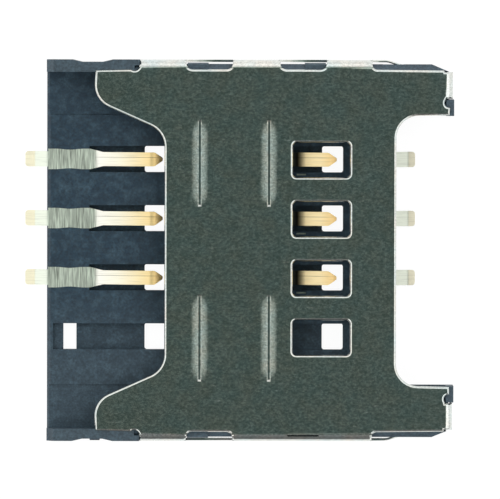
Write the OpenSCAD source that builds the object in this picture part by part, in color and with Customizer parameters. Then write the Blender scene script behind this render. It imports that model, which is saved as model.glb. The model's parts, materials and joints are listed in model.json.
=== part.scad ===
// Socket for a plug-in identity card: a moulded housing with sprung contacts under a folded sheet cover.
// The origin is the middle of the housing's underside, on the board. The card slides in along +X, +Z is up.

/* [Card] */
// Width of the card
card_w = 15; // [14.6:0.1:15.6]
// Thickness of the card
card_t = 0.76; // [0.7:0.02:0.9]
// Distance from the card's leading edge to the first column of contact pads
first_column = 5; // [4.8:0.05:5.2]
// Distance between the two columns of pads
column_pitch = 7.62; // [7.5:0.02:7.8]
// Distance between neighbouring rows of pads
row_pitch = 2.54; // [2.4:0.02:2.6]
// Sideways offset of the rows from the card's centre line
row_offset = 0.09; // [0:0.01:0.2]

/* [Fits] */
// Play between the card and each side wall
card_side_gap = 0.15; // [0.1:0.01:0.25]
// Play between the card and the cover
card_top_gap = 0.12; // [0.11:0.01:0.2]
// Room between the housing's side and the cover's side wall
cover_side_gap = 0.085; // [0.08:0.005:0.12]
// Clearance round the cover's flaps, latch fingers and slots
cover_clearance = 0.05; // [0.03:0.01:0.08]

/* [Housing] */
// Length of the housing
body_l = 17.45; // [17.3:0.05:18]
// Thickness of the floor under the card
floor_t = 0.5; // [0.5:0.01:0.6]
// Thickness of the side walls
side_wall = 0.34; // [0.3:0.01:0.4]
// Length of the wide head at the mouth
head_l = 3.98; // [3.8:0.02:4.1]
// Width of the raised platform between the outer ledges
platform_w = 11.58; // [11.3:0.02:11.7]
// Drop from the platform to the outer ledges
ledge_drop = 0.05; // [0.02:0.01:0.1]
// Depth of the open bay between the arms at the closed end
bay_l = 2.58; // [2.4:0.02:2.7]
// Length of the stop posts along the card
post_l = 0.33; // [0.3:0.01:0.4]
// Width of the stop posts
post_w = 0.7; // [0.6:0.02:0.74]
// Length of the cut on the outer corners at the closed end
corner_l = 0.93; // [0.7:0.01:1.1]
// Width of the cut on the outer corners at the closed end
corner_w = 0.4; // [0.3:0.01:0.42]
// Width of the lead-in slope along the mouth's floor
mouth_slope = 0.15; // [0.05:0.01:0.2]
// Width of the slope on the ends of the side walls at the mouth
wall_slope = 0.3; // [0.1:0.02:0.4]
// Width of the spring channels
channel_w = 1.12; // [1:0.02:1.2]
// Thickness of floor left under the spring channels
channel_skin = 0.15; // [0.12:0.01:0.18]
// Distance from a contact point to the end of its channel
tip_room = 0.59; // [0.55:0.01:0.7]
// Length of the well that opens the channel under a spring's tip
well_l = 0.9; // [0.8:0.05:1.2]
// Corner radius of the wells
well_r = 0.1; // [0.04:0.01:0.2]
// Length of root left free in its channel
root_free = 0.29; // [0.2:0.01:0.4]
// Distance from the beam to the hole under its root
root_hole_x = 0.84; // [0.7:0.02:1]
// Length of the hole under a root
root_hole_l = 0.56; // [0.4:0.02:0.6]
// Length of the root's bed before that hole
bed_l = 0.44; // [0.3:0.02:0.5]
// Length of the shallow scoops in the sides of the head
scoop_l = 1.73; // [1.4:0.01:2]
// Depth of those scoops
scoop_d = 0.1; // [0.05:0.01:0.15]
// Distance from the mouth to the middle of the scoops
scoop_x = 1.96; // [1.7:0.02:2.2]
// Width of the moulding gate's stub
gate_w = 0.42; // [0.2:0.02:0.5]
// Length of the nubs behind the cover's slots
nub_l = 0.9; // [0.7:0.05:1]

/* [Cover] */
// Thickness of the sheet
sheet_t = 0.1; // [0.08:0.01:0.12]
// Inner radius of the folds
fold_r = 0.31; // [0.25:0.01:0.35]
// Distance from the mouth to the edge of the cover's ears
ear_x = 2.06; // [1.8:0.02:2.3]
// Width across the mouth between the ears
mouth_w = 12.84; // [12.6:0.02:13]
// Straight width at the inner end of the mouth
throat_w = 10.18; // [9.8:0.02:10.4]
// Distance from the second column to the cover's straight edge
throat_x = 0.55; // [0.4:0.01:0.7]
// Radius of the mouth's outer corners
ear_r = 1.03; // [0.8:0.01:1.1]
// Radius of the mouth's inner corners
throat_r = 1; // [0.8:0.05:1.2]
// Distance the cover reaches past the floor over the tail bay
bay_overhang = 0.115; // [0.05:0.005:0.15]
// Radius of the corners of the cover's cut over the tail bay
bay_r = 0.95; // [0.6:0.05:1.2]
// Radius of the cover's outer corners
edge_r = 0.08; // [0.04:0.01:0.12]
// Length of the windows over the first column
window_l = 2.45; // [2.3:0.05:2.6]
// Width of the windows
window_w = 1.5; // [1.3:0.05:1.6]
// Corner radius of the windows
window_r = 0.16; // [0.1:0.02:0.4]
// Distance from the first column to the windows' far edge
window_x = 0.88; // [0.7:0.02:1]
// Length of the folded side walls
wall_l = 9.97; // [9.9:0.01:10.1]
// Height of the side walls' lower edge over the board
wall_lift = 0.1; // [0.06:0.01:0.15]
// Radius of the relief cuts at the ends of the side walls
relief_r = 0.22; // [0.18:0.01:0.26]
// Distance of the relief cuts' middles outside the start of the fold
relief_y = 0.17; // [0.1:0.01:0.18]
// Length of the slots in the side folds
slot_l = 2; // [1.8:0.05:2.1]
// Length of the slit that takes the place of one slot
slit_l = 1.36; // [1:0.02:1.8]
// Width of that slit, seen from above
slit_w = 0.07; // [0.04:0.01:0.1]
// Distance of the slit from the start of the fold
slit_y = 0.13; // [0.1:0.01:0.2]
// Distance between the two slots on a side
slot_pitch = 4.02; // [3.8:0.02:4.2]
// Distance from the head to the first slot
slot_x = 2; // [1.8:0.05:2.2]
// Corner radius of the slots
slot_r = 0.28; // [0.1:0.01:0.3]
// Height of the top of the strip of side wall left under the slots
strip_h = 0.6; // [0.5:0.02:0.7]
// Length of the latch fingers past the side walls
finger_l = 1.32; // [1.2:0.02:1.4]
// Distance the tips of the latch fingers bend inwards
finger_bend = 0.2; // [0.16:0.01:0.22]
// Length of the solder feet under the side walls
foot_l = 1.1; // [0.8:0.05:1.3]
// Distance of the solder feet from the ends of the side walls
foot_x = 0.25; // [0.2:0.01:0.4]
// Width of the flaps folded down at the closed end
flap_w = 1.14; // [0.9:0.01:1.16]
// Distance from the stop posts to the flaps
flap_y = 0.04; // [0.03:0.01:0.06]
// Distance of the flaps' faces inside the housing's end
flap_in = 0.05; // [0.02:0.01:0.08]
// Inner radius of the flaps' folds
flap_fold_r = 0.25; // [0.2:0.01:0.3]
// Corner radius of the relief notches beside the flaps
flap_relief_r = 0.17; // [0.1:0.01:0.18]
// Width of the tabs over the stop posts
tab_w = 0.38; // [0.34:0.02:0.42]

/* [Grooves] */
// Length of the pressed grooves
groove_l = 4.1; // [3.8:0.02:4.3]
// Width of the grooves from flank to flank
groove_w = 0.9; // [0.7:0.05:1]
// Depth of the soft flanks at the crease
flank_d = 0.05; // [0.02:0.01:0.06]
// Length over which the flanks run out at each end
runout_l = 0.8; // [0.4:0.05:1.2]
// Length of the crease along the middle of a groove
crease_l = 3.72; // [3.4:0.02:3.8]
// Width of the crease
crease_w = 0.16; // [0.1:0.01:0.2]
// Depth of the crease
crease_d = 0.08; // [0.06:0.01:0.1]
// Distance from the cover's straight edge to the first groove
groove_x = 1.51; // [1.3:0.02:1.7]
// Distance between the two grooves of a pair
groove_pitch = 2.97; // [2.7:0.02:3.1]
// Distance of the grooves' middles from the centre line
groove_y = 3.75; // [3.4:0.05:4]

/* [Contacts] */
// Thickness of the contact strip
strip_t = 0.15; // [0.12:0.01:0.18]
// Width of the root held by the housing
root_w = 0.88; // [0.8:0.02:0.94]
// Distance from the mouth's face to an outer contact's root
root_in = 0.05; // [0.03:0.01:0.2]
// Length of an inner contact's root
root_l = 2.1; // [1.9:0.05:2.3]
// Width of the spring beam
beam_w = 0.6; // [0.5:0.02:0.66]
// Width of the solder tail
tail_w = 0.66; // [0.5:0.02:0.72]
// Length of the spring beam from its root to the contact point
beam_l = 2.4; // [2.3:0.05:2.5]
// Length over which the root narrows to the beam
taper_l = 0.56; // [0.3:0.02:0.7]
// Distance before the beam's bend at which the root starts to narrow
taper_lead = 0.25; // [0:0.01:0.28]
// Height of the contact point over the floor
point_h = 0.58; // [0.45:0.01:0.7]
// Inner radius of the contact point's curve
point_r = 0.3; // [0.2:0.02:0.34]
// Slope of the lead-off beyond the contact point, in degrees
point_fall = 50; // [35:1:60]
// Length of the lead-off
tip_l = 0.2; // [0.1:0.02:0.24]
// Length over which the tip narrows
tip_taper = 0.35; // [0.2:0.01:0.4]
// Width of the tip's end
tip_w = 0.12; // [0.06:0.02:0.3]
// Length by which an inner contact's tip is cut shorter
tip_cut = 0.16; // [0:0.02:0.2]
// Inner radius of the other bends
bend_r = 0.2; // [0.1:0.02:0.3]
// Length of the sloping part of a tail
tail_slope = 0.6; // [0.5:0.02:0.7]
// Length of the flat solder end of a tail
tail_flat = 0.34; // [0.25:0.01:0.4]
// Room under an inner contact's root where it is free
spring_room = 0.1; // [0.06:0.01:0.12]
// Width of the buried rail beside a channel
rail_w = 0.3; // [0.2:0.02:0.34]
// Plastic left between a channel and the rail
rail_cover = 0.05; // [0.03:0.01:0.08]
// Length of the slit where a rail lies open
rail_slit_l = 0.4; // [0.2:0.02:0.6]
// Width of that slit
rail_slit_w = 0.07; // [0.04:0.01:0.1]
// Distance from the first column to that slit
rail_slit_x = 1.4; // [1.2:0.02:1.6]

/* [Hidden] */

plastic = "#35464f";
steel = "#8b928e";
gold = "#d9c48c";

// Rows with contacts, the row left empty, and all of them
filled_rows = [0, 1, 2];
empty_row = 3;
all_rows = concat(filled_rows, empty_row);

// Straight steps in each bend and in a groove's run-out, and how far a cut runs past the face it opens
bend_steps = 10;
runout_steps = 4;
past = 1;

// Heights
cover_z = floor_t + card_t + card_top_gap;
top_z = cover_z + sheet_t;
ledge_z = floor_t - ledge_drop;
outer_root_z = floor_t - strip_t;
inner_root_z = channel_skin + spring_room;
point_z = floor_t + point_h;

// Half widths, from the card outwards
slot_half = card_w / 2 + card_side_gap;
body_half = slot_half + side_wall;
wall_half = body_half + cover_side_gap + sheet_t;
fold_out = fold_r + sheet_t;
flat_half = wall_half - fold_out;
platform_half = platform_w / 2;

// Places along the card
end_x = body_l / 2;
head_x = head_l - end_x;
stop_x = end_x - post_l;
bay_x = end_x - bay_l;
inner_x = stop_x - first_column;
outer_x = inner_x - column_pitch;
straight_x = outer_x + throat_x;
wall_end_x = head_x + wall_l;
flap_x = end_x - flap_in;
flat_end_x = flap_x - flap_fold_r - sheet_t;
slots = [for (i = [0, 1]) head_x + slot_x + i * slot_pitch];

// Flaps at the closed end, across the card
flap_span = span(platform_half + post_w + flap_y, flap_w);

// Hook, rail and return of an inner contact
rail_y = span(-channel_w / 2 - rail_cover - rail_w, rail_w);
hook_x = inner_x - beam_l - root_l;
return_x = inner_x + tip_room + tail_w;

function row_y(i) = row_offset + (1.5 - i) * row_pitch;

// Ranges: a length from a start, and a width about a middle
function span(start, length) = [start, start + length];
function about(middle, width) = [middle - width / 2, middle + width / 2];

function unit(v) = v / norm(v);
function turned(v, a) = [v.x * cos(a) - v.y * sin(a), v.x * sin(a) + v.y * cos(a)];

// Points that round the corner b of the path a, b, c to radius r, or to less where a side is short
function corner(a, b, c, r) =
    let (u = unit(b - a), v = unit(c - b))
    let (turn = atan2(u.x * v.y - u.y * v.x, u * v), lean = tan(abs(turn) / 2))
    let (fit = min(r, min(norm(b - a), norm(c - b)) / 2 / lean))
    let (spoke = sign(turn) * [u.y, -u.x])
    let (middle = b - u * fit * lean - fit * spoke)
    [for (i = [0:bend_steps]) middle + fit * turned(spoke, turn * i / bend_steps)];

// Closed outline through points [x, y, corner radius]
function outline(p) =
    let (n = len(p), q = [for (c = p) [c.x, c.y]])
    [for (i = [0:n - 1])
        each p[i].z > 0 ? corner(q[(i + n - 1) % n], q[i], q[(i + 1) % n], p[i].z) : [q[i]]];

// The same points followed by their mirror images across the centre line
function both_sides(p) = concat(p, [for (i = [len(p) - 1:-1:0]) [p[i].x, -p[i].y, p[i].z]]);

// Point beside a path at distance d, mitred at the path's corners
function beside(p, i, d) =
    let (u = i > 0 ? unit(p[i] - p[i - 1]) : unit(p[1] - p[0]))
    let (v = i < len(p) - 1 ? unit(p[i + 1] - p[i]) : u)
    let (m = unit(u + v))
    p[i] + d / (m * u) * [-m.y, m.x];

// Section of a strip of thickness t whose middle follows a path
function strip(p, t) = concat(
    [for (i = [0:len(p) - 1]) beside(p, i, t / 2)],
    [for (i = [len(p) - 1:-1:0]) beside(p, i, -t / 2)]);

// Middle line of a sheet or strip folded once, at b
function folded(a, b, c, r) = concat([a], corner(a, b, c, r), [c]);

module block(x, y, z) {
    translate([x[0], y[0], z[0]])
        cube([x[1] - x[0], y[1] - y[0], z[1] - z[0]]);
}

// Section in the XZ plane drawn out along Y
module along_y(points, y) {
    translate([0, y[1], 0])
        rotate([90, 0, 0])
            linear_extrude(y[1] - y[0])
                polygon(points);
}

// Section in the YZ plane drawn out along X
module along_x(points, x) {
    translate([x[0], 0, 0])
        rotate([90, 0, 90])
            linear_extrude(x[1] - x[0])
                polygon(points);
}

// Plan drawn up from one height to another
module upright(z) {
    translate([0, 0, z[0]])
        linear_extrude(z[1] - z[0])
            children();
}

module mirrored() {
    children();
    mirror([0, 1, 0])
        children();
}

// Middle line of a spring: root, rising beam, curve over the contact point at column x, lead-off
function spring_path(x, start_x, z) =
    let (r = point_r + strip_t / 2, foot = [x - beam_l, z + strip_t / 2])
    let (middle = [x, point_z - strip_t / 2 - r], gap = middle - foot)
    let (rise = atan2(gap.y, gap.x) + asin(r / norm(gap)))
    let (landing = foot + sqrt(gap * gap - r * r) * [cos(rise), sin(rise)])
    let (over = [for (i = [0:bend_steps]) 90 + rise - (rise + point_fall) * i / bend_steps])
    let (curve = [for (a = over) middle + r * [cos(a), sin(a)]])
    concat(
        [[start_x, foot.y]],
        corner([start_x, foot.y], foot, landing, bend_r + strip_t / 2),
        curve,
        [curve[bend_steps] + tip_l * [cos(point_fall), -sin(point_fall)]]);

// Middle line of a tail that leaves the housing's face at x in direction way, from a root at height z
function tail_path(x, way, z, held_l) =
    let (knee = [x + way * tail_slope, strip_t / 2], brow = [x, z + strip_t / 2])
    let (held = [x - way * held_l, brow.y], tip = [knee.x + way * tail_flat, knee.y])
    concat(
        [held],
        corner(held, brow, knee, bend_r + strip_t / 2),
        corner(brow, knee, tip, bend_r + strip_t / 2),
        [tip]);

// Blank of a spring, from its root to the pointed tip, which is cut shorter by cut
function spring_blank(x, start_x, cut) =
    let (tip_x = x + (point_r + strip_t) * sin(point_fall) + tip_l * cos(point_fall) - cut)
    let (taper_x = x - beam_l - taper_lead)
    both_sides([
        [start_x, root_w / 2, 0],
        [taper_x, root_w / 2, taper_l / 2],
        [taper_x + taper_l, beam_w / 2, taper_l / 2],
        [tip_x - tip_taper, beam_w / 2, tip_taper / 2],
        [tip_x, tip_w / 2, tip_w / 2]]);

// Blank of a tail with rounded corners at its solder end
function tail_blank(x, way, held_l) =
    both_sides([
        [x - way * held_l, tail_w / 2, 0],
        [x + way * (tail_slope + tail_flat), tail_w / 2, tail_w / 5]]);

// Strip cut to a blank and bent along a path
module formed(path, blank) {
    intersection() {
        along_y(strip(path, strip_t), [-root_w, root_w]);
        upright([-past, top_z + past])
            polygon(outline(blank));
    }
}

// Contact of the column at the mouth, whose tail leaves at the mouth
module outer_contact(row) {
    start_x = root_in - end_x;
    color(gold)
        translate([0, row_y(row), 0]) {
            formed(spring_path(outer_x, start_x, outer_root_z), spring_blank(outer_x, start_x, 0));
            formed(tail_path(-end_x, -1, outer_root_z, root_w), tail_blank(-end_x, -1, root_w));
        }
}

// Contact of the column at the stop: a buried rail leads past the spring to a tail in the bay
module inner_contact(row) {
    held_l = bay_x - return_x;
    color(gold)
        translate([0, row_y(row), 0]) {
            formed(spring_path(inner_x, hook_x, inner_root_z), spring_blank(inner_x, hook_x, tip_cut));
            formed(tail_path(bay_x, 1, inner_root_z, held_l), tail_blank(bay_x, 1, held_l));
            rail();
        }
}

module rail() {
    upright(span(inner_root_z, strip_t))
        polygon(outline([
            [hook_x, 0, 0],
            [hook_x, rail_y[0], rail_w / 2],
            [return_x + tail_w, rail_y[0], rail_w],
            [return_x + tail_w, 0, 0],
            [return_x, 0, 0],
            [return_x, rail_y[1], rail_w / 4],
            [hook_x + root_w, rail_y[1], rail_w / 4],
            [hook_x + root_w, 0, 0]]));
}

module contact_c1_supply() { inner_contact(0); }
module contact_c2_reset() { inner_contact(1); }
module contact_c3_clock() { inner_contact(2); }
module contact_c5_ground() { outer_contact(0); }
module contact_c6_program() { outer_contact(1); }
module contact_c7_data() { outer_contact(2); }

module all_contacts() {
    for (row = filled_rows) {
        outer_contact(row);
        inner_contact(row);
    }
}

// Outline of the housing: wide head, body with cut corners, tail bay, room for the flaps, scoops
module housing_plan() {
    difference() {
        union() {
            polygon(outline(both_sides([
                [-end_x, body_half, 0],
                [end_x - corner_l, body_half, 0],
                [end_x, body_half - corner_w, 0]])));
            translate([-end_x, -wall_half])
                square([head_l, 2 * wall_half]);
        }
        translate([bay_x, -platform_half])
            square([bay_l + past, platform_w]);
        mirrored()
            translate([flap_x - sheet_t - cover_clearance, flap_span[0] - cover_clearance])
                square([past, flap_w + 2 * cover_clearance]);
        mirrored()
            scoop();
    }
}

// Shallow scoop in the head's side, with a soft ramp at each end
module scoop() {
    ramp = scoop_l / 4;
    translate([scoop_x - end_x, wall_half])
        polygon(outline([
            [-scoop_l / 2, past, 0],
            [-scoop_l / 2, 0, 0],
            [-scoop_l / 2 + ramp, -scoop_d, ramp],
            [scoop_l / 2 - ramp, -scoop_d, ramp],
            [scoop_l / 2, 0, 0],
            [scoop_l / 2, past, 0]]));
}

// Floor with a raised platform between two ledges
module floor_plate() {
    difference() {
        upright([0, floor_t])
            housing_plan();
        mirrored()
            block([-end_x - past, end_x + past], [platform_half, slot_half], [ledge_z, floor_t + past]);
    }
}

// Side walls, eased for the cover's folds and cut back for its end flaps
module side_walls() {
    difference() {
        upright([0, cover_z])
            intersection() {
                housing_plan();
                mirrored()
                    translate([-end_x, slot_half])
                        square([body_l, wall_half]);
            }
        mirrored() {
            fold_slope(fold_out, [head_x, end_x + past]);
            fold_slope(relief_y, [head_x - relief_r, head_x]);
            block([flat_end_x - cover_clearance, end_x + past],
                [slot_half - past, flap_span[1] + cover_clearance],
                [floor_t, cover_z + past]);
        }
    }
}

// Slope along the top of a side wall that clears the cover's fold
module fold_slope(run, x) {
    start = flat_half - cover_clearance;
    along_x([
        [start, cover_z + past],
        [start, cover_z],
        [flat_half + run, cover_z - run],
        [flat_half + run, cover_z + past]],
        x);
}

module stop_posts() {
    mirrored()
        block([stop_x, end_x], span(platform_half, post_w), [0, cover_z - cover_clearance / 2]);
}

// Nub in a slot, in the gap to the side wall
module nub(x) {
    inside = body_half - side_wall / 2;
    face = body_half + cover_side_gap - cover_clearance / 2;
    low = strip_h + cover_clearance;
    high = cover_z - cover_side_gap;
    along_x([
        [inside, low],
        [face, low],
        [face, high - 2 * cover_side_gap],
        [body_half, high],
        [inside, high]],
        [x, x + nub_l]);
}

// Nubs at the near ends of the first slots, and at the far end of the second
module nubs() {
    mirrored()
        nub(slots[0] + cover_clearance);
    nub(slots[1] + slot_l - nub_l - cover_clearance);
}

// Broken-off stub of the moulding gate, in the scoop on one side
module gate_stub() {
    block(span(scoop_x - end_x - gate_w / 4, gate_w),
        [scoop_d / 4 - wall_half, 2 * scoop_d - wall_half],
        [floor_t / 2, cover_z - floor_t / 2]);
}

// Slopes at the mouth: along the floor's edge, and across the ends of the side walls
module mouth_slopes() {
    for (edge = [[floor_t, mouth_slope, 0, slot_half], [cover_z, wall_slope, slot_half, wall_half + past]])
        mirrored()
            along_y([
                [-end_x - past, edge[0] + past],
                [-end_x - past, edge[0] - edge[1]],
                [-end_x, edge[0] - edge[1]],
                [-end_x + edge[1], edge[0]],
                [-end_x + edge[1], edge[0] + past]],
                [edge[2], edge[3]]);
}

// Room for the tip of a latch finger in the housing's side
module latch_pocket() {
    block([wall_end_x + finger_l / 3, wall_end_x + finger_l + cover_clearance],
        [body_half - side_wall / 2, body_half + past],
        [-past, strip_h + cover_clearance]);
}

// Channel under a spring, the well below its tip, and the hole where the mould held the root
module spring_channel(x, row, start_x, root_z) {
    y = about(row_y(row), channel_w);
    hole_x = x - beam_l - root_hole_x;
    block([start_x, x + tip_room], y, [channel_skin, cover_z]);
    upright([-past, cover_z])
        polygon(outline([for (c = [[0, 0], [1, 0], [1, 1], [0, 1]])
            [x + tip_room - c.x * well_l, y[c.y], well_r]]));
    block(span(hole_x - root_hole_l, root_hole_l), y, [-past, root_z]);
}

// Empty place: the channel runs on to the hole, and the bed of the root lies open
module empty_channel(x, row) {
    hole_x = x - beam_l - root_hole_x;
    spring_channel(x, row, hole_x, cover_z);
    block([hole_x - root_hole_l - bed_l, hole_x], about(row_y(row), channel_w), [outer_root_z, cover_z]);
}

// Slit where the mould held a rail down
module rail_slit(row) {
    block(span(inner_x - rail_slit_x, rail_slit_l),
        span(row_y(row) + rail_y[1] - rail_slit_w, rail_slit_w),
        [inner_root_z, floor_t + past]);
}

module housing() {
    color(plastic) {
        difference() {
            union() {
                floor_plate();
                side_walls();
                stop_posts();
                nubs();
            }
            mouth_slopes();
            mirrored()
                latch_pocket();
            for (row = filled_rows) {
                spring_channel(outer_x, row, outer_x - beam_l - root_free, outer_root_z);
                spring_channel(inner_x, row, inner_x - beam_l - root_free, inner_root_z);
                rail_slit(row);
            }
            empty_channel(outer_x, empty_row);
            empty_channel(inner_x, empty_row);
            all_contacts();
        }
        gate_stub();
    }
}

// Outline of the cover's flat: curved mouth, ears, tabs over the posts, cut over the tail bay
module cover_plan() {
    tab_x = flap_x - sheet_t;
    tab_y = platform_half + tab_w;
    difference() {
        polygon(outline(both_sides([
            [straight_x, throat_w / 2, throat_r],
            [ear_x - end_x, mouth_w / 2, ear_r],
            [ear_x - end_x, flat_half, edge_r],
            [flat_end_x, flat_half, edge_r],
            [flat_end_x, flap_span[0], 0],
            [flat_end_x + flap_relief_r, flap_span[0], 0],
            [flat_end_x + flap_relief_r, tab_y, 0],
            [tab_x, tab_y, edge_r],
            [tab_x, platform_half, edge_r],
            [bay_x + bay_overhang, platform_half, bay_r]])));
        for (row = all_rows)
            translate([inner_x + window_x, row_y(row)])
                window();
        mirrored()
            relief_notch([tab_y, flap_span[0]]);
    }
}

// Notch between a tab and its flap
module relief_notch(y) {
    polygon(outline([
        [end_x, y[0], 0],
        [end_x, y[1], 0],
        [flat_end_x, y[1], flap_relief_r],
        [flat_end_x, y[0], flap_relief_r]]));
}

module window() {
    polygon(outline([
        [0, -window_w / 2, window_r],
        [0, window_w / 2, window_r],
        [-window_l, window_w / 2, window_r],
        [-window_l, -window_w / 2, window_r]]));
}

// Side wall folded down from the flat
module cover_wall() {
    z = cover_z + sheet_t / 2;
    y = wall_half - sheet_t / 2;
    path = folded([flat_half - fold_out, z], [y, z], [y, wall_lift], fold_r + sheet_t / 2);
    along_x(strip(path, sheet_t), [head_x - relief_r, wall_end_x + relief_r]);
}

// Flap folded down to the board at the closed end
module flap() {
    z = cover_z + sheet_t / 2;
    x = flap_x - sheet_t / 2;
    path = folded([flat_end_x - fold_out, z], [x, z], [x, 0], flap_fold_r + sheet_t / 2);
    along_y(strip(path, sheet_t), flap_span);
}

// Foot of the side wall that reaches the board
module foot(x) {
    block(about(x, foot_l), span(wall_half - sheet_t, sheet_t), [0, wall_lift + sheet_t]);
}

// Latch finger that carries the strip of side wall on and bends into the housing's pocket
module finger() {
    y = wall_half - sheet_t / 2;
    bend = [wall_end_x + finger_l / 2, y];
    path = folded([wall_end_x - foot_x, y], bend, [wall_end_x + finger_l, y - finger_bend], finger_l / 2);
    upright([wall_lift, strip_h])
        polygon(strip(path, sheet_t));
}

// Round-bottomed cut that frees the side wall from the ear
module ear_relief() {
    translate([head_x - relief_r, flat_half + relief_y]) {
        circle(r = relief_r, $fn = 32);
        translate([-relief_r, 0])
            square([2 * relief_r, past]);
    }
}

// Cut at the far end of the side wall, above the latch finger
module wall_end() {
    polygon(outline([
        [wall_end_x, flat_half + past, 0],
        [wall_end_x, flat_half, slot_r],
        [wall_end_x + 2 * relief_r, flat_half, 0],
        [wall_end_x + 2 * relief_r, flat_half + past, 0]]));
}

// Slot through the side fold, above the strip of wall
module slot(x) {
    polygon(outline([
        [x, flat_half + past, 0],
        [x, flat_half, slot_r],
        [x + slot_l, flat_half, slot_r],
        [x + slot_l, flat_half + past, 0]]));
}

// Slit high in the side fold
module slit(x) {
    polygon(outline([
        [x, flat_half + slit_y, slit_w / 2],
        [x, flat_half + slit_y + slit_w, slit_w / 2],
        [x + slit_l, flat_half + slit_y + slit_w, slit_w / 2],
        [x + slit_l, flat_half + slit_y, slit_w / 2]]));
}

// Half of a dip: level at the distance out from the middle, it falls by d towards the distance in
function dip(out, in, d) =
    [for (i = [0:bend_steps]) [in + (out - in) * (1 - i / bend_steps), d * (cos(90 * i / bend_steps) - 1)]];

// Section of a hollow: one half, open at the top by rise, and its mirror image
function dished(half, rise) = concat(
    [[half[0].x, rise]], half,
    [for (i = [len(half) - 1:-1:0]) [-half[i].x, half[i].y]], [[-half[0].x, rise]]);

// Solid with the same section at each place [y, share], which keeps that share of the section's depth
module lofted(section, places) {
    n = len(section);
    last = len(places) - 1;
    sides = [for (k = [0:last - 1], i = [0:n - 1]) let (j = (i + 1) % n)
        [k * n + i, (k + 1) * n + i, (k + 1) * n + j, k * n + j]];
    polyhedron(
        [for (p = places, q = section) [q.x, p[0], q.y < 0 ? q.y * p[1] : q.y]],
        concat([[for (i = [0:n - 1]) i]], [[for (i = [n - 1:-1:0]) last * n + i]], sides));
}

// Soft flanks of a groove, which grow shallow towards both ends until they run out
module flanks(rise) {
    section = dished(dip(groove_w / 2, crease_w / 3, flank_d), rise);
    half = [for (i = [0:runout_steps]) let (t = i / runout_steps)
        [groove_l / 2 - runout_l * (1 - t), (1 + cos(180 * t)) / 2]];
    lofted(section, concat([for (i = [runout_steps:-1:0]) [-half[i].x, half[i].y]], half));
}

// Crease along the middle of a groove, wider all round by grow
module crease(rise, grow) {
    w = crease_w / 2 + grow;
    l = crease_l / 2 + grow;
    intersection() {
        along_y(dished([[w, 0], [w - crease_w / 6, -crease_d]], rise), about(0, 2 * l));
        along_x(dished([[l, 0], [l - crease_d, -crease_d]], rise), about(0, 2 * w));
    }
}

// Form of the pressed grooves below the height z, carried up by rise
module grooves(z, rise, grow) {
    for (i = [0, 1], y = groove_y * [-1, 1])
        translate([straight_x + groove_x + i * groove_pitch, y, z]) {
            flanks(rise);
            crease(rise, grow);
        }
}

module cover() {
    color(steel)
        difference() {
            union() {
                upright([cover_z, top_z])
                    cover_plan();
                mirrored() {
                    cover_wall();
                    flap();
                    finger();
                    foot(head_x + foot_x + foot_l / 2);
                    foot(wall_end_x - foot_x - foot_l / 2);
                }
                grooves(cover_z, sheet_t / 4, sheet_t / 2);
            }
            mirrored() {
                upright([-past, top_z + past])
                    ear_relief();
                upright([strip_h, top_z + past]) {
                    wall_end();
                    slot(slots[0]);
                }
            }
            upright([strip_h, top_z + past]) {
                slot(slots[1]);
                mirror([0, 1])
                    slit(slots[1] + (slot_l - slit_l) / 2);
            }
            grooves(top_z, past, 0);
        }
}

housing();
cover();
contact_c1_supply();
contact_c2_reset();
contact_c3_clock();
contact_c5_ground();
contact_c6_program();
contact_c7_data();
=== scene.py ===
"""Looks of a plug-in card socket on a pale floor.

The pieces are a pressed steel cover, a moulded housing and six plated contacts."""

import json
import math

import bmesh
import bpy
from mathutils import Euler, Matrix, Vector

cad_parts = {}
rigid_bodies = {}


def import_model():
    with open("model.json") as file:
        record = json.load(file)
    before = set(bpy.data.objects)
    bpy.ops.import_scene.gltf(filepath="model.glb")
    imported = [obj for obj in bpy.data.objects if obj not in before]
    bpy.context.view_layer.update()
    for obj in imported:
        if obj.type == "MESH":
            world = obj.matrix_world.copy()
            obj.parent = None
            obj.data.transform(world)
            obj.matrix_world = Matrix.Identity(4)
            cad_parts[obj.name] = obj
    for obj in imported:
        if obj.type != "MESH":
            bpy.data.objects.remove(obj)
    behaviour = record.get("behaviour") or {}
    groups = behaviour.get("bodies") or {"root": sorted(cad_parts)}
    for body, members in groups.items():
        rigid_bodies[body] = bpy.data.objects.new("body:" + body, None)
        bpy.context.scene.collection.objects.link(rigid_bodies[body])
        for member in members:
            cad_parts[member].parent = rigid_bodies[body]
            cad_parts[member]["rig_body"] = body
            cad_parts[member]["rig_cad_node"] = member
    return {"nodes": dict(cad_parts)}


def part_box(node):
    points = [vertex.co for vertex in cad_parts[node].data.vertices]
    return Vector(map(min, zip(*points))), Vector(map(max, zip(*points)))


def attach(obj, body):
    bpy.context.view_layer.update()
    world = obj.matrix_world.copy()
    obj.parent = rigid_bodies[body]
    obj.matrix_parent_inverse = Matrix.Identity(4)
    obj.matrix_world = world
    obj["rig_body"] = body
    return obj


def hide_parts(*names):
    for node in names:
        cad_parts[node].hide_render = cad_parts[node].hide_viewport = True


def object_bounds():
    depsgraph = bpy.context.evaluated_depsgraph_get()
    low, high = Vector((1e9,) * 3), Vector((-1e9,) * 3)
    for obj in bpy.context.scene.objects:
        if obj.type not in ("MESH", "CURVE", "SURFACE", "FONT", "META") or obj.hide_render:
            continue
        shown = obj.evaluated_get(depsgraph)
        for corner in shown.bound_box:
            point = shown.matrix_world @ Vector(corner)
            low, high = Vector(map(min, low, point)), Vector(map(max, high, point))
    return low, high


bl_info = {
    "name": "Card socket",
    "version": (1, 0, 0),
    "blender": (4, 5, 0),
    "location": "View3D > Sidebar > Card socket",
    "description": "Dresses the packed card socket and sets it on a lit stage",
    "category": "Object",
}

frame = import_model()
cad_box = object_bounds()

MM = 0.001
OUTER = ("contact_c5_ground", "contact_c6_program", "contact_c7_data")
INNER = ("contact_c1_supply", "contact_c2_reset", "contact_c3_clock")

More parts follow.
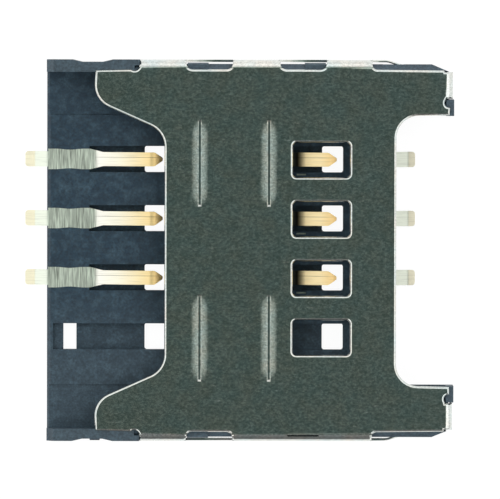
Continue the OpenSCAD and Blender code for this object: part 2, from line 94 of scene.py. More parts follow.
# Points nearer to each other than this are made one
MERGE = 1e-7
# How near to the cover's top, to a height and to a line a point counts as on it
ON_TOP = 0.0001 * MM
ON_HEIGHT = 0.0005 * MM
ON_LINE = 0.001 * MM

# The first steps of the cover's folds lie within this of its flat
FOLD_START = 0.0055 * MM
# Farther than this from the centre line lie the cover's side folds
FOLD_Y = 7.5 * MM
# How far down from the flat the cover's cut edges are rounded
RIM_DEPTH = 0.4 * MM
# Edges shorter than this belong to small corners, which are drawn together
SHORT_EDGE = 0.0135 * MM
# Half the length and width of the box whose points are drawn to the corner of a notch
NOTCH_BOX = (0.13 * MM, 0.06 * MM)
# Share of the sheet that each rounded edge of a strip's top takes up
STRIP_ROUND = 0.48

# The moulding's edges along the outer contacts' roots end short of this place
ROOTS_END = -5 * MM
# How far the plastic that creeps over a root rises, and how far it spreads from its middle
CREEP_RISE = 0.004 * MM
CREEP_SPREAD = 0.6 * MM

# Roughness, share of metal, share of marks that run across, and depth of the painted shade in the pressed
# line
FINISHES = {
    "matt_tin": (0.95, 0.0, 0.0, 0.0),
    "tin": (0.6, 1.0, 0.0, 0.0),
    "brushed_nickel": (0.55, 1.0, 1.0, 0.0),
    "gold_flash": (0.36, 1.0, 0.0, 1.0),
    "gold": (0.5, 0.85, 0.0, 1.0),
    "worn_gold": (0.9, 0.4, 0.0, 0.0),
}
# Place along the strip in mm, colour and finish, from the tail to the tip of the outer contacts
OUTER_PLATING = (
    (-9.67, "#f8f2d4", "matt_tin"),
    (-9.29, "#f8f2d4", "matt_tin"),
    (-9.23, "#eef3e6", "tin"),
    (-8.74, "#eef3e6", "tin"),
    (-8.68, "#bcc5b8", "brushed_nickel"),
    (-6.72, "#bcc5b8", "brushed_nickel"),
    (-6.5, "#fffcf2", "gold_flash"),
    (-5.7, "#fff9e4", "gold_flash"),
    (-4.7, "#ffeab8", "gold_flash"),
    (-4.1, "#ffe09c", "gold"),
    (-3.9, "#ffe2a0", "worn_gold"),
    (-3.76, "#ffe2a0", "worn_gold"),
)
# The same from the root to the tail of the inner contacts, with painted shade where the springs run under
# the cover
INNER_PLATING_AND_SHADE = (
    (-1.11, "#c9d1c4", "brushed_nickel"),
    (0.9, "#c9d1c4", "brushed_nickel"),
    # Painted shade: the spring is drawn almost black where it runs down under the cover's edge
    (2.02, "#14110c", "gold"),
    (2.38, "#ffeab8", "gold"),
    (3.0, "#ffeab8", "gold"),
    (3.72, "#ffdf9c", "worn_gold"),
    (4.2, "#c9d1c4", "tin"),
    (6.1, "#dfe3d6", "tin"),
    (6.78, "#dfe3d6", "tin"),
    (6.84, "#fff8de", "matt_tin"),
    (7.09, "#fff8de", "matt_tin"),
)
RAIL_NICKEL = "#c9d1c4"
# Where the lines pressed along the springs start and end, in mm
OUTER_SCORE = (-6.4, -4.2)
INNER_SCORE = (2.2, 3.5)

# Gap between the socket's underside and the floor
FLOOR_GAP = 0.02 * MM


def linear(hex_colour, alpha=1.0):
    """Linear RGBA of an sRGB hex colour."""
    parts = [int(hex_colour[i:i + 2], 16) / 255 for i in (1, 3, 5)]
    return [c / 12.92 if c <= 0.04045 else ((c + 0.055) / 1.055) ** 2.4 for c in parts] + [alpha]


def grey(value):
    """Linear RGBA of a grey, which may be brighter than white."""
    return [value, value, value, 1]


def add(tree, kind, inputs=None, stops=(), **settings):
    """Adds a node with its settings, colour stops in order, values and links."""
    node = tree.nodes.new(kind)
    for key, value in settings.items():
        setattr(node, key, value)
    if stops:
        ramp = node.color_ramp.elements
        for place, _ in stops[1:-1]:
            ramp.new(place)
        for stop, (place, colour) in zip(ramp, stops):
            stop.position = place
            stop.color = colour
    for key, value in (inputs or {}).items():
        if isinstance(value, bpy.types.NodeSocket):
            tree.links.new(value, node.inputs[key])
        else:
            node.inputs[key].default_value = value
    return node


def material(name):
    """A new empty material and its tree."""
    made = bpy.data.materials.new(name)
    made.use_nodes = True
    made.node_tree.nodes.clear()
    return made, made.node_tree


class SocketCover(bpy.types.PropertyGroup):
    """Settings of the cover"""
    sheet: bpy.props.FloatProperty(
        name="Sheet", description="Thickness of the sheet",
        default=0.1 * MM, unit="LENGTH", precision=6)
    die_roll: bpy.props.FloatProperty(
        name="Die roll",
        description="Width of the rounding that the cutting die leaves along the cover's edges",
        default=0.096 * MM, unit="LENGTH", precision=6)
    strip: bpy.props.FloatProperty(
        name="Strip", description="Height of the tops of the strips of side wall under the slots",
        default=0.6 * MM, unit="LENGTH", precision=6)
    flap_x: bpy.props.FloatProperty(
        name="Flap corner", description="Place along the socket where the notch beside an end flap meets it",
        default=8.375 * MM, unit="LENGTH", precision=6)
    flap_y: bpy.props.FloatProperty(
        name="Flap side", description="Distance of the end flaps' inner sides from the centre line",
        default=6.53 * MM, unit="LENGTH", precision=6)
    colour: bpy.props.FloatVectorProperty(
        name="Steel", description="Colour of the rolled steel sheet",
        default=linear("#d2dcda")[:3], subtype="COLOR")
    tarnish: bpy.props.FloatVectorProperty(
        name="Tarnish", description="Colour of the browner patches of the sheet",
        default=linear("#dfddd5")[:3], subtype="COLOR")
    dullness: bpy.props.FloatProperty(
        name="Dullness", description="Roughness of the rolled surface",
        default=0.16, subtype="FACTOR")
    grain: bpy.props.FloatProperty(
        name="Grain", description="Size of the rolled grain as it is drawn",
        default=0.08 * MM, unit="LENGTH", precision=6)


class SocketHousing(bpy.types.PropertyGroup):
    """Settings of the housing"""
    colour: bpy.props.FloatVectorProperty(
        name="Plastic", description="Colour of the moulded plastic",
        default=linear("#122d3d")[:3], subtype="COLOR")
    filler: bpy.props.FloatVectorProperty(
        name="Filler", description="Colour of the clouds of filler at its skin",
        default=linear("#5a7786")[:3], subtype="COLOR")
    # Pale colour of the painted light on the wall tops and towards one side
    painted_light: bpy.props.FloatVectorProperty(
        name="Rubbed", description="Colour of the bare filler where the skin is rubbed off",
        default=linear("#707d83")[:3], subtype="COLOR")
    grain: bpy.props.FloatProperty(
        name="Grain", description="Size of the moulded grain as it is drawn",
        default=0.09 * MM, unit="LENGTH", precision=6)
    flash: bpy.props.FloatProperty(
        name="Flash",
        description="Reach of the plastic that has crept over the edges of the outer contacts' roots",
        default=0.04 * MM, unit="LENGTH", precision=6)


class SocketContacts(bpy.types.PropertyGroup):
    """Settings of the contacts"""
    lines: bpy.props.FloatProperty(
        name="Lines", description="Spacing of the brushed lines across the strip as it is drawn",
        default=0.045 * MM, unit="LENGTH", precision=6)
    root: bpy.props.FloatProperty(
        name="Root", description="Width of a contact's root",
        default=0.88 * MM, unit="LENGTH", precision=6)
    pitch: bpy.props.FloatProperty(
        name="Pitch", description="Distance between neighbouring rows",
        default=2.54 * MM, unit="LENGTH", precision=5)
    row: bpy.props.FloatProperty(
        name="Row", description="Place of one row across the socket",
        default=1.36 * MM, unit="LENGTH", precision=5)
    rail: bpy.props.FloatProperty(
        name="Rail", description="Width of the band in which a rail lies",
        default=0.4 * MM, unit="LENGTH", precision=5)
    rail_y: bpy.props.FloatProperty(
        name="Rail place", description="Distance of the rail from the middle of its row",
        default=0.78 * MM, unit="LENGTH", precision=5)
    score: bpy.props.FloatProperty(
        name="Score", description="Depth and half the width of the lines pressed along the springs",
        default=0.03 * MM, unit="LENGTH", precision=6)
    score_y: bpy.props.FloatProperty(
        name="Score place", description="Distance of the pressed line from the middle of its spring",
        default=0.08 * MM, unit="LENGTH", precision=6)


class SocketStage(bpy.types.PropertyGroup):
    """Settings of the floor and the camera"""
    tilt: bpy.props.FloatProperty(
        name="Tilt", description="Angle of the camera from straight overhead",
        default=math.radians(2), subtype="ANGLE")
    roll: bpy.props.FloatProperty(
        name="Roll", description="Turn of the camera about its own axis",
        default=math.radians(0.12), subtype="ANGLE")
    distance: bpy.props.FloatProperty(
        name="Distance", description="Distance from the camera to the socket",
        default=330 * MM, unit="LENGTH")
    view_width: bpy.props.FloatProperty(
        name="View width", description="Width of what the camera sees at the socket",
        default=21.46 * MM, unit="LENGTH", precision=5)
    floor: bpy.props.FloatVectorProperty(
        name="Floor", description="Colour of the floor",
        default=linear("#fdfdfd")[:3], subtype="COLOR")


def copied(node, name):
    """Copy of a CAD node's mesh as a new piece: merged, with its flat faces made whole."""
    source = frame["nodes"][node]
    bpy.ops.object.select_all(action="DESELECT")
    source.select_set(True)
    bpy.context.view_layer.objects.active = source
    bpy.ops.object.duplicate(linked=False)
    piece = bpy.context.view_layer.objects.active
    piece.name = piece.data.name = name
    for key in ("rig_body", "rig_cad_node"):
        del piece[key]
    piece.data.materials.clear()
    bpy.ops.object.mode_set(mode="EDIT")
    bpy.ops.mesh.select_all(action="SELECT")
    bpy.ops.mesh.customdata_custom_splitnormals_clear()
    bpy.ops.mesh.remove_doubles(threshold=MERGE)
    bpy.ops.mesh.dissolve_limited(angle_limit=math.radians(0.2))
    bpy.ops.object.mode_set(mode="OBJECT")
    return piece


def pick(piece, kind, test):
    """Selects a piece's points, edges or faces that pass a test, leaves edit mode on and counts them."""
    bpy.ops.object.mode_set(mode="EDIT")
    bpy.ops.mesh.select_mode(type=kind)
    bpy.ops.mesh.select_all(action="DESELECT")
    mesh = bmesh.from_edit_mesh(piece.data)
    mesh.normal_update()
    elements = {"VERT": mesh.verts, "EDGE": mesh.edges, "FACE": mesh.faces}[kind]
    chosen = [element for element in elements if test(element)]
    for element in chosen:
        element.select_set(True)
    bmesh.update_edit_mesh(piece.data)
    return len(chosen)


def level(points, height, room):
    """Whether all of some points lie within room of a height."""
    return all(abs(point.co.z - height) < room for point in points)


def squared(piece, heights, longest):
    """Draws each corner made of edges shorter than longest together into one point, at some heights."""
    for height in heights:
        pick(piece, "EDGE", lambda edge: edge.is_manifold and edge.calc_length() < longest
             and level(edge.verts, height, ON_HEIGHT))
        bpy.ops.mesh.merge(type="COLLAPSE")
        bpy.ops.object.mode_set(mode="OBJECT")


def gathered(piece, heights, corner, size):
    """Draws a sheet's points in a box round a corner, at some heights, together to that corner."""
    def beside(vert):
        gap = corner - vert.co
        at_height = any(level([vert], height, ON_HEIGHT) for height in heights)
        return at_height and abs(gap.x) < size[0] and abs(gap.y) < size[1]

    pick(piece, "VERT", beside)
    bpy.ops.transform.resize(value=(0, 0, 1), center_override=corner)
    bpy.ops.mesh.remove_doubles(threshold=MERGE)
    bpy.ops.mesh.select_all(action="SELECT")
    bpy.ops.mesh.dissolve_degenerate(threshold=MERGE)
    bpy.ops.object.mode_set(mode="OBJECT")


def lowered(piece, top):
    """Brings down to the height top what a bevel has pushed above it."""
    pick(piece, "VERT", lambda vert: vert.co.z > top)
    bpy.ops.transform.resize(value=(1, 1, 0), center_override=(0, 0, top))
    bpy.ops.object.mode_set(mode="OBJECT")


def refilled(piece, heights):
    """Fills a sheet's flat faces at some heights afresh, together with the first steps of its folds."""
    def flat(face, height):
        reach = max(abs(vert.co.y) for vert in face.verts)
        return level(face.verts, height, FOLD_START if reach > FOLD_Y else ON_HEIGHT)

    for height in heights:
        pick(piece, "FACE", lambda face: flat(face, height))
        bpy.ops.mesh.delete(type="ONLY_FACE")
        pick(piece, "EDGE", lambda edge: edge.is_boundary)
        bpy.ops.mesh.fill(use_beauty=True)
    bpy.ops.mesh.select_mode(type="FACE")
    bpy.ops.mesh.select_all(action="SELECT")
    bpy.ops.mesh.delete_loose()
    bpy.ops.mesh.select_all(action="SELECT")
    bpy.ops.mesh.normals_make_consistent(inside=False)
    bpy.ops.object.mode_set(mode="OBJECT")


def smoothed(piece, angle):
    """Smooth shading between faces that meet at less than an angle, led by the larger faces."""
    bpy.ops.object.shade_smooth_by_angle(angle=math.radians(angle))
    bpy.ops.object.modifier_add(type="WEIGHTED_NORMAL")
    piece.modifiers[-1].keep_sharp = True
    bpy.ops.object.modifier_apply(modifier=piece.modifiers[-1].name)


def steadied(piece, test):
    """Takes the normals along the faces that pass a test from those faces alone."""
    pick(piece, "FACE", test)
    bpy.ops.mesh.set_normals_from_faces()
    bpy.ops.object.mode_set(mode="OBJECT")


def scored(piece, y, start, end, depth):
    """Presses a fine line along the upper face of a strip, from one place to another."""
    bpy.ops.object.mode_set(mode="EDIT")
    for side in (-1, 0, 1):
        bpy.ops.mesh.select_all(action="SELECT")
        bpy.ops.mesh.bisect(plane_co=(0, y + side * depth, 0), plane_no=(0, 1, 0))
    pick(piece, "VERT", lambda vert: abs(vert.co.y - y) < ON_LINE
         and start < vert.co.x < end and vert.normal.z > 0.3)
    bpy.ops.transform.translate(value=(0, 0, -depth))
    bpy.ops.object.mode_set(mode="OBJECT")


def crept(piece, y, reach):
    """Bulges the moulding's upper edge along a root's side over the root, most at the middle of the edge."""
    def beside(edge):
        first, second = edge.verts
        if not edge.is_manifold or max(first.co.x, second.co.x) > ROOTS_END or edge.calc_length() < MM:
            return False
        upper = max(face.normal.z for face in edge.link_faces) > 0.9
        return upper and abs(first.co.y - y) + abs(second.co.y - y) < 2 * ON_LINE

    if not pick(piece, "EDGE", beside):
        raise RuntimeError("the moulding has no edge along a root")
    bpy.ops.mesh.subdivide(number_cuts=19)
    mesh = bmesh.from_edit_mesh(piece.data)
    run = sorted((vert for vert in mesh.verts if vert.select), key=lambda vert: vert.co.x)
    middle = run[len(run) // 2]
    bpy.ops.mesh.select_mode(type="VERT")
    bpy.ops.mesh.select_all(action="DESELECT")
    middle.select_set(True)
    bmesh.update_edit_mesh(piece.data)
    bpy.ops.transform.translate(
        value=(0, reach, CREEP_RISE), use_proportional_edit=True, use_proportional_connected=True,
        proportional_edit_falloff="SMOOTH", proportional_size=CREEP_SPREAD)
    bpy.ops.object.mode_set(mode="OBJECT")


def dressed(piece, node, made):
    """Gives a finished piece its material and its place on the frame."""
    piece.data.materials.append(made)
    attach(piece, "root")
    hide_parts(node)


def steel_sheet(settings):
    """Cold-rolled stainless sheet: a dull mirror, speckled by its grain, with scuffs and duller patches."""
    made, tree = material("stainless_sheet_cold_rolled")
    place = add(tree, "ShaderNodeTexCoord").outputs["Object"]
    # Real rolled grain is finer than a pixel here, so it is drawn coarser
    rolled = add(tree, "ShaderNodeMapping", {"Vector": place, "Scale": (0.7, 1, 1)})
    grain = add(tree, "ShaderNodeTexNoise", {
        "Vector": rolled.outputs[0], "Scale": 1 / settings.grain, "Detail": 2.0, "Roughness": 0.7})
    patches = add(tree, "ShaderNodeTexNoise", {
        "Vector": place, "Scale": 1 / (0.9 * MM), "Detail": 4.0, "Roughness": 0.6})
    along = add(tree, "ShaderNodeMapping", {
        "Vector": place, "Rotation": (0, 0, 0.5), "Scale": (0.2, 1, 1)})
    scuffs = add(tree, "ShaderNodeTexNoise", {
        "Vector": along.outputs[0], "Scale": 1 / (0.12 * MM), "Detail": 2.0})
    speckle = add(tree, "ShaderNodeMapRange", {
        "Value": grain.outputs["Fac"], "From Min": 0.3, "From Max": 0.7, "To Min": 0.8, "To Max": 1.16})
    tint = add(tree, "ShaderNodeValToRGB", {0: patches.outputs["Fac"]}, stops=[
        (0.35, [*settings.colour, 1]), (0.65, [*settings.tarnish, 1])])
    colour = add(tree, "ShaderNodeVectorMath", {
        0: tint.outputs[0], 1: speckle.outputs[0]}, operation="MULTIPLY")
    rub = add(tree, "ShaderNodeMapRange", {
        "Value": scuffs.outputs["Fac"], "From Min": 0.68, "From Max": 0.76, "To Min": 0.0, "To Max": 0.07})
    pitted = add(tree, "ShaderNodeMapRange", {
        "Value": grain.outputs["Fac"], "From Min": 0.35, "From Max": 0.65,
        "To Min": settings.dullness * 0.88, "To Max": settings.dullness * 1.24})
    rough = add(tree, "ShaderNodeMath", {0: rub.outputs[0], 1: pitted.outputs[0]}, operation="ADD")
    bump = add(tree, "ShaderNodeBump", {
        "Height": grain.outputs["Fac"], "Strength": 1.0, "Distance": settings.grain / 40})
    shader = add(tree, "ShaderNodeBsdfPrincipled", {
        "Base Color": colour.outputs[0], "Metallic": 1.0,
        "Roughness": rough.outputs[0], "Normal": bump.outputs["Normal"]})
    add(tree, "ShaderNodeOutputMaterial", {"Surface": shader.outputs[0]})
    return made


def moulded_plastic(settings):
    """Glass-filled polymer moulding: dark and dull, clouded by filler, with painted light making it paler on
    its wall tops and towards one side.
    """
    made, tree = material("glass_filled_polymer_moulded")
    place = add(tree, "ShaderNodeTexCoord").outputs["Object"]
    axis = add(tree, "ShaderNodeSeparateXYZ", {0: place})
    # Real moulded grain is finer than a pixel here, so it is drawn coarser
    grain = add(tree, "ShaderNodeTexNoise", {"Vector": place, "Scale": 1 / settings.grain, "Detail": 2.0})
    clouds = add(tree, "ShaderNodeTexNoise", {
        "Vector": place, "Scale": 1 / (0.35 * MM), "Detail": 5.0, "Roughness": 0.65})
    speckle = add(tree, "ShaderNodeMapRange", {
        "Value": grain.outputs["Fac"], "From Min": 0.3, "From Max": 0.7, "To Min": 0.7, "To Max": 1.3})
    filled = add(tree, "ShaderNodeMapRange", {
        "Value": clouds.outputs["Fac"], "From Min": 0.45, "From Max": 0.72, "To Min": 0.0, "To Max": 0.26})
    # Painted light: the plastic is drawn paler high up on the wall tops and towards the -Y side, where more
    # light falls
    lit_tops = add(tree, "ShaderNodeMapRange", {
        "Value": axis.outputs["Z"], "From Min": 0.6 * MM, "From Max": 1.3 * MM,
        "To Min": 0.0, "To Max": 0.23})
    lit_side = add(tree, "ShaderNodeMapRange", {
        "Value": axis.outputs["Y"], "From Min": -1.5 * MM, "From Max": -5.0 * MM,
        "To Min": 0.0, "To Max": 0.13})
    paler = add(tree, "ShaderNodeMath", {
        0: lit_tops.outputs[0], 1: lit_side.outputs[0]}, operation="MAXIMUM")
    mixed = add(tree, "ShaderNodeMix", {
        "Factor": filled.outputs[0], "A": [*settings.colour, 1], "B": [*settings.filler, 1]},
        data_type="RGBA")
    painted_light_mix = add(tree, "ShaderNodeMix", {
        "Factor": paler.outputs[0], "A": mixed.outputs[2], "B": [*settings.painted_light, 1]}, data_type="RGBA")
    colour = add(tree, "ShaderNodeVectorMath", {
        0: painted_light_mix.outputs[2], 1: speckle.outputs[0]}, operation="MULTIPLY")
    bump = add(tree, "ShaderNodeBump", {
        "Height": grain.outputs["Fac"], "Strength": 0.5, "Distance": settings.grain / 15})
    shader = add(tree, "ShaderNodeBsdfPrincipled", {
        "Base Color": colour.outputs[0], "Roughness": 0.55, "Normal": bump.outputs["Normal"]})
    add(tree, "ShaderNodeOutputMaterial", {"Surface": shader.outputs[0]})
    return made


def plated_strip(name, settings, plating_and_shade):
    """Plated bronze strip: nickel brushed across the root, gold drawn along the spring, pale tin tails, and
    painted shade along the pressed lines.
    """
    made, tree = material(name)
    place = add(tree, "ShaderNodeTexCoord").outputs["Object"]
    axis = add(tree, "ShaderNodeSeparateXYZ", {0: place})
    first = plating_and_shade[0][0] * MM
    last = plating_and_shade[-1][0] * MM
    along = add(tree, "ShaderNodeMapRange", {
        "Value": axis.outputs["X"], "From Min": first, "From Max": last})
    colours = []
    finishes = []
    for x, hex_colour, finish in plating_and_shade:
        share = (x * MM - first) / (last - first)
        rough, metal, marks, line_shade = FINISHES[finish]
        colours.append((share, linear(hex_colour, line_shade)))
        finishes.append((share, (rough, metal, marks, 1)))
    plate = add(tree, "ShaderNodeValToRGB", {0: along.outputs[0]}, stops=colours)
    surface = add(tree, "ShaderNodeValToRGB", {0: along.outputs[0]}, stops=finishes)
    kind = add(tree, "ShaderNodeSeparateColor", {0: surface.outputs[0]})
    # Real brushed lines are finer than a pixel here, so they are drawn wider apart
    across = add(tree, "ShaderNodeMapping", {"Vector": place, "Scale": (1, 0.06, 0.06)})
    brushed = add(tree, "ShaderNodeTexNoise", {
        "Vector": across.outputs[0], "Scale": 1 / settings.lines, "Detail": 3.0})
    lengthwise = add(tree, "ShaderNodeMapping", {"Vector": place, "Scale": (0.05, 1, 0.05)})
    drawn = add(tree, "ShaderNodeTexNoise", {
        "Vector": lengthwise.outputs[0], "Scale": 1 / settings.lines, "Detail": 1.0})
    bands = add(tree, "ShaderNodeMapRange", {
        "Value": brushed.outputs["Fac"], "From Min": 0.3, "From Max": 0.7, "To Min": 0.5, "To Max": 1.5})
    streaks = add(tree, "ShaderNodeMapRange", {
        "Value": drawn.outputs["Fac"], "From Min": 0.5, "From Max": 0.7, "To Min": 1.0, "To Max": 0.88})
    tone = add(tree, "ShaderNodeMix", {
        "Factor": kind.outputs["Blue"], "A": streaks.outputs[0], "B": bands.outputs[0]})
    row = add(tree, "ShaderNodeMath", {
        0: axis.outputs["Y"], 1: settings.row + settings.pitch / 2, 2: settings.row - settings.pitch / 2},
        operation="WRAP")
    # Painted shade: the pressed line along each spring is drawn darker, taking up to half off its tone
    line = add(tree, "ShaderNodeMath", {
        0: row.outputs[0], 1: settings.row + settings.score_y, 2: 0.4 * settings.score}, operation="COMPARE")
    cut = add(tree, "ShaderNodeMath", {0: line.outputs[0], 1: plate.outputs["Alpha"]}, operation="MULTIPLY")
    tone_and_line_shade = add(tree, "ShaderNodeMath", {
        0: cut.outputs[0], 1: -0.5, 2: tone.outputs[0]}, operation="MULTIPLY_ADD")
    rail = add(tree, "ShaderNodeMath", {
        0: row.outputs[0], 1: settings.row - settings.rail_y, 2: settings.rail / 2}, operation="COMPARE")
    bare = add(tree, "ShaderNodeMix", {
        "Factor": rail.outputs[0], "A": plate.outputs[0], "B": linear(RAIL_NICKEL)}, data_type="RGBA")
    colour = add(tree, "ShaderNodeVectorMath", {
        0: bare.outputs[2], 1: tone_and_line_shade.outputs[0]}, operation="MULTIPLY")
    bump = add(tree, "ShaderNodeBump", {
        "Height": tone.outputs[0], "Strength": 0.5, "Distance": settings.lines / 15})
    shader = add(tree, "ShaderNodeBsdfPrincipled", {
        "Base Color": colour.outputs[0], "Metallic": kind.outputs["Green"],
        "Roughness": kind.outputs["Red"], "Normal": bump.outputs["Normal"]})
    add(tree, "ShaderNodeOutputMaterial", {"Surface": shader.outputs[0]})
    return made


class SOCKET_OT_cover(bpy.types.Operator):
    """Makes the folded cover, its cut edges rounded as the die leaves them"""
    bl_idname = "socket.cover"
    bl_label = "Cover"

    def execute(self, context):
        settings = context.scene.socket_cover
        piece = copied("cover", "cover_sheet")
        top = max(vert.co.z for vert in piece.data.vertices)
        heights = (top, top - settings.sheet)

        def fold_line(edge):
            if not edge.is_manifold or any(abs(vert.co.y) < FOLD_Y for vert in edge.verts):
                return False
            first, second = (face.normal for face in edge.link_faces)
            shallow = min(first.z, second.z) > 0.99 and first.dot(second) < 0.9999
            return shallow and level(edge.verts, top, ON_TOP)

        # Where an upright cut meets the flat, or the upper part of a fold
        def rim(edge):
            if not edge.is_manifold:
                return False
            skin, cut = sorted((face.normal for face in edge.link_faces), key=lambda normal: -normal.z)
            low = min(vert.co.z for vert in edge.verts)
            if abs(cut.z) > 0.1:
                return False
            if skin.z > 0.9999:
                return low > top - FOLD_START
            across = abs(cut.y) if abs(skin.x) > abs(skin.y) else abs(cut.x)
            turned = low > top - 0.01 * MM or (across > 0.3 and edge.calc_length() > 0.02 * MM)
            return skin.z > 0.15 and turned and low > top - RIM_DEPTH

        def strip_top(edge):
            if not edge.is_manifold or not level(edge.verts, settings.strip, ON_LINE):
                return False
            rises = [face.normal.z for face in edge.link_faces]
            return max(rises) > 0.99 and min(rises) < 0.1

        def folded(face):
            middle = face.calc_center_median()
            outward = abs(middle.y) > FOLD_Y and face.normal.y * middle.y > 0.02 * FOLD_Y
            return outward and abs(face.normal.x) < 0.005 and face.normal.z > 0.02

        def flat(face):
            return face.normal.z > 0.999 and level(face.verts, top, 0.006 * MM)

        squared(piece, heights, SHORT_EDGE)
        for side in (-1, 1):
            notch = Vector((settings.flap_x, side * settings.flap_y, top))
            gathered(piece, heights, notch, NOTCH_BOX)
        if not pick(piece, "EDGE", fold_line):
            raise RuntimeError("the cover has no lines where its folds start")
        bpy.ops.mesh.dissolve_edges(use_verts=False)
        if not pick(piece, "EDGE", rim):
            raise RuntimeError("the cover has no cut edges to round")
        bpy.ops.mesh.bevel(
            offset=settings.die_roll, segments=4, profile=0.36, affect="EDGES",
            clamp_overlap=False, loop_slide=False)
        bpy.ops.object.mode_set(mode="OBJECT")
        if not pick(piece, "EDGE", strip_top):
            raise RuntimeError("the cover has no strips under its slots")
        bpy.ops.mesh.bevel(
            offset=STRIP_ROUND * settings.sheet, segments=4, profile=0.5, affect="EDGES", clamp_overlap=True)
        bpy.ops.object.mode_set(mode="OBJECT")
        lowered(piece, top)
        refilled(piece, heights)
        smoothed(piece, 35)
        steadied(piece, folded)
        steadied(piece, flat)
        dressed(piece, "cover", steel_sheet(settings))
        return {"FINISHED"}


class SOCKET_OT_housing(bpy.types.Operator):
    """Makes the moulded housing, its plastic crept a little over the outer contacts' roots"""
    bl_idname = "socket.housing"
    bl_label = "Housing"

    def execute(self, context):
        settings = context.scene.socket_housing
        piece = copied("housing", "housing_moulding")
        for node in OUTER:
            low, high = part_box(node)
            crept(piece, low.y, settings.flash)
            crept(piece, high.y, -settings.flash)
        smoothed(piece, 30)
        dressed(piece, "housing", moulded_plastic(settings))
        return {"FINISHED"}


class SOCKET_OT_contacts(bpy.types.Operator):
    """Makes the six formed contacts, a fine line pressed along each spring"""
    bl_idname = "socket.contacts"
    bl_label = "Contacts"

    def execute(self, context):
        settings = context.scene.socket_contacts
        outer = plated_strip("nickel_gold_plated_strip_outer", settings, OUTER_PLATING)
        inner = plated_strip("nickel_gold_plated_strip_inner", settings, INNER_PLATING_AND_SHADE)
        for nodes, made, score in ((OUTER, outer, OUTER_SCORE), (INNER, inner, INNER_SCORE)):
            for node in nodes:
                piece = copied(node, node + "_strip")
                row = max(vert.co.y for vert in piece.data.vertices) - settings.root / 2
                scored(piece, row + settings.score_y, score[0] * MM, score[1] * MM, settings.score)
                smoothed(piece, 35)
                dressed(piece, node, made)
        return {"FINISHED"}


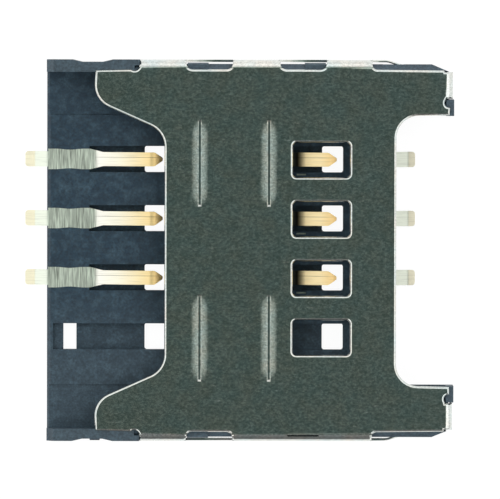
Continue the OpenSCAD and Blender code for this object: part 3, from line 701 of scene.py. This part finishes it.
class SOCKET_OT_stage(bpy.types.Operator):
    """Sets the floor, the light and the camera"""
    bl_idname = "socket.stage"
    bl_label = "Stage"

    def execute(self, context):
        settings = context.scene.socket_stage
        self.floor(settings)
        self.light(context.scene)
        self.camera(context, settings)
        context.scene.view_settings.view_transform = "Standard"
        return {"FINISHED"}

    def floor(self, settings):
        """White paper just under the socket: white to the camera, with the socket's soft shadow on it."""
        bpy.ops.object.select_all(action="DESELECT")
        bpy.ops.mesh.primitive_plane_add(size=3, location=(0, 0, cad_box[0].z - FLOOR_GAP))
        piece = bpy.context.view_layer.objects.active
        piece.name = piece.data.name = "floor"
        bpy.ops.object.transform_apply(location=True, rotation=True, scale=True)
        made, tree = material("white_paper_floor")
        way = add(tree, "ShaderNodeLightPath").outputs
        direct = add(tree, "ShaderNodeMath", {
            0: way["Is Camera Ray"], 1: way["Is Glossy Ray"]}, operation="MAXIMUM")
        seen = add(tree, "ShaderNodeMath", {
            0: direct.outputs[0], 1: way["Is Transmission Ray"]}, operation="MAXIMUM")
        paper = add(tree, "ShaderNodeBsdfDiffuse", {"Color": [*settings.floor, 1]})
        shaded = add(tree, "ShaderNodeBsdfDiffuse", {"Color": grey(0.12)})
        place = add(tree, "ShaderNodeTexCoord").outputs["Object"]
        axis = add(tree, "ShaderNodeSeparateXYZ", {0: place})
        # In reflections, the near part of the paper lies in the shade of the tent's near side
        near = add(tree, "ShaderNodeMapRange", {
            "Value": axis.outputs["Y"], "From Min": -14 * MM, "From Max": -11 * MM,
            "To Min": 0.12, "To Max": 1.0})
        strength = add(tree, "ShaderNodeMix", {
            "Factor": way["Is Glossy Ray"], "A": 0.96, "B": near.outputs[0]})
        glow = add(tree, "ShaderNodeEmission", {
            "Color": [*settings.floor, 1], "Strength": strength.outputs[0]})
        lit = add(tree, "ShaderNodeAddShader", {0: glow.outputs[0], 1: shaded.outputs[0]})
        both = add(tree, "ShaderNodeMixShader", {
            0: seen.outputs[0], 1: paper.outputs[0], 2: lit.outputs[0]})
        add(tree, "ShaderNodeOutputMaterial", {"Surface": both.outputs[0]})
        piece.data.materials.append(made)

    def light(self, scene):
        """A light tent, bright all round but for a dark opening overhead and its near and far sides."""
        world = bpy.data.worlds.new("light_tent")
        world.use_nodes = True
        scene.world = world
        tree = world.node_tree
        tree.nodes.clear()
        way = add(tree, "ShaderNodeTexCoord").outputs["Generated"]
        axis = add(tree, "ShaderNodeSeparateXYZ", {0: way})
        angle = add(tree, "ShaderNodeMath", {0: axis.outputs["Z"]}, operation="ARCCOSINE")
        # Share of the way from overhead to the horizon
        share = add(tree, "ShaderNodeMath", {0: angle.outputs[0], 1: 2 / math.pi}, operation="MULTIPLY")
        tent = add(tree, "ShaderNodeValToRGB", {0: share.outputs[0]}, stops=[
            (0.0, linear("#41514d")), (0.09, linear("#43534f")), (0.13, linear("#67726d")),
            (0.17, linear("#95a099")), (0.28, linear("#a5b0a8")),
            (0.32, grey(1.43)), (0.5, grey(1.54)), (1.0, grey(0.9))])
        # The near side is dim, and the far side brightens slowly towards the horizon
        near = add(tree, "ShaderNodeMapRange", {
            "Value": axis.outputs["Y"], "From Min": -0.45, "From Max": -0.05, "To Min": 0.14, "To Max": 1.0})
        far = add(tree, "ShaderNodeValToRGB", {0: axis.outputs["Y"]}, stops=[
            (0.1, grey(1.0)), (0.2, grey(1.9)), (0.42, grey(1.3)), (0.5, grey(0.42)), (0.9, grey(1.0))])
        ends = add(tree, "ShaderNodeMath", {0: near.outputs[0], 1: far.outputs[0]}, operation="MULTIPLY")
        # Both hold only straight ahead and straight behind, not aside
        slant = add(tree, "ShaderNodeMath", {
            0: axis.outputs["X"], 1: axis.outputs["Y"]}, operation="DIVIDE")
        turn = add(tree, "ShaderNodeMath", {0: slant.outputs[0]}, operation="ABSOLUTE")
        aside = add(tree, "ShaderNodeMapRange", {
            "Value": turn.outputs[0], "From Min": 0.3, "From Max": 0.5, "To Min": 0.0, "To Max": 1.0})
        strength = add(tree, "ShaderNodeMix", {"Factor": aside.outputs[0], "A": ends.outputs[0], "B": 1.0})
        glow = add(tree, "ShaderNodeBackground", {
            "Color": tent.outputs[0], "Strength": strength.outputs[0]})
        add(tree, "ShaderNodeOutputWorld", {"Surface": glow.outputs[0]})

    def camera(self, context, settings):
        """A long lens almost straight overhead, aimed at half the socket's height."""
        data = bpy.data.cameras.new("camera")
        camera = bpy.data.objects.new("camera", data)
        context.scene.collection.objects.link(camera)
        data.sensor_width = 36
        data.lens = data.sensor_width * settings.distance / settings.view_width
        data.clip_start = 0.01
        turn = Euler((-settings.tilt, 0, settings.roll))
        target = Vector((-0.006 * MM, 0.034 * MM, 0.75 * MM))
        camera.location = target + turn.to_matrix() @ Vector((0, 0, settings.distance))
        camera.rotation_euler = turn
        context.scene.camera = camera


class SOCKET_PT_panel(bpy.types.Panel):
    """Lists the pieces of the socket and the stage"""
    bl_idname = "SOCKET_PT_panel"
    bl_label = "Card socket"
    bl_space_type = "VIEW_3D"
    bl_region_type = "UI"
    bl_category = "Card socket"

    def draw(self, context):
        for name, operator in STEPS:
            box = self.layout.box()
            box.operator(operator)
            group = getattr(context.scene, name)
            for key in group.__annotations__:
                box.prop(group, key)


STEPS = (
    ("socket_housing", "socket.housing"),
    ("socket_contacts", "socket.contacts"),
    ("socket_cover", "socket.cover"),
    ("socket_stage", "socket.stage"),
)
GROUPS = {
    "socket_cover": SocketCover,
    "socket_housing": SocketHousing,
    "socket_contacts": SocketContacts,
    "socket_stage": SocketStage,
}
CLASSES = (
    *GROUPS.values(),
    SOCKET_OT_cover, SOCKET_OT_housing, SOCKET_OT_contacts, SOCKET_OT_stage, SOCKET_PT_panel,
)


def register():
    for cls in CLASSES:
        bpy.utils.register_class(cls)
    for name, group in GROUPS.items():
        setattr(bpy.types.Scene, name, bpy.props.PointerProperty(type=group))


def unregister():
    for name in GROUPS:
        delattr(bpy.types.Scene, name)
    for cls in reversed(CLASSES):
        bpy.utils.unregister_class(cls)


def main():
    register()
    bpy.ops.socket.housing()
    bpy.ops.socket.contacts()
    bpy.ops.socket.cover()
    bpy.ops.socket.stage()


if __name__ == "__main__":
    main()
